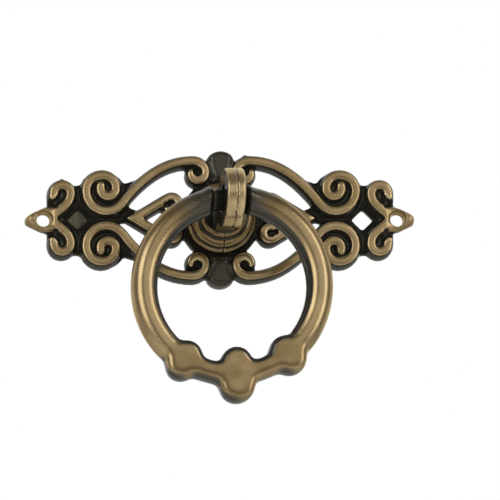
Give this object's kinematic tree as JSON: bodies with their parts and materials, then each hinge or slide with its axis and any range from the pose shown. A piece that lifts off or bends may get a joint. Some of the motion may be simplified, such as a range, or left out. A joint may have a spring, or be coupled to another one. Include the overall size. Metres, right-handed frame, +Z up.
{
  "type": "ring pull handle",
  "caption": "Drop ring pull for a drawer: a pierced scroll-relief backplate, a stepped post with an eye, and a lobed ring that swings freely in the eye.",
  "frame": {"origin": "middle of the backplate's back face, on the post's axis, where the back lies on the drawer front", "axes": "+X along the backplate, -Y out of its face towards the person, +Z up the drawer front; the ring hangs straight down at rest"},
  "size_m": [0.075, 0.0184, 0.0519],
  "materials": {
    "antique_plate": "antique brass plating on cast zinc, dark in the grooves, satin lacquer",
    "antique_post": "antique brass plating on cast zinc, rubbed bright on the edges, satin lacquer",
    "antique_ring": "antique brass plating on cast zinc, rubbed bright on the outside, satin lacquer"
  },
  "bodies": {
    "base": {"backplate": "antique_plate", "eye_post": "antique_post"},
    "ring": {"pull_ring": "antique_ring"}
  },
  "joints": [
    {"name": "ring_swing", "type": "hinge", "parent": "base", "child": "ring", "pos_m": [0, -0.013, -0.00015], "axis": [-1, 0, 0], "range_deg": [-16, 196]}
  ]
}
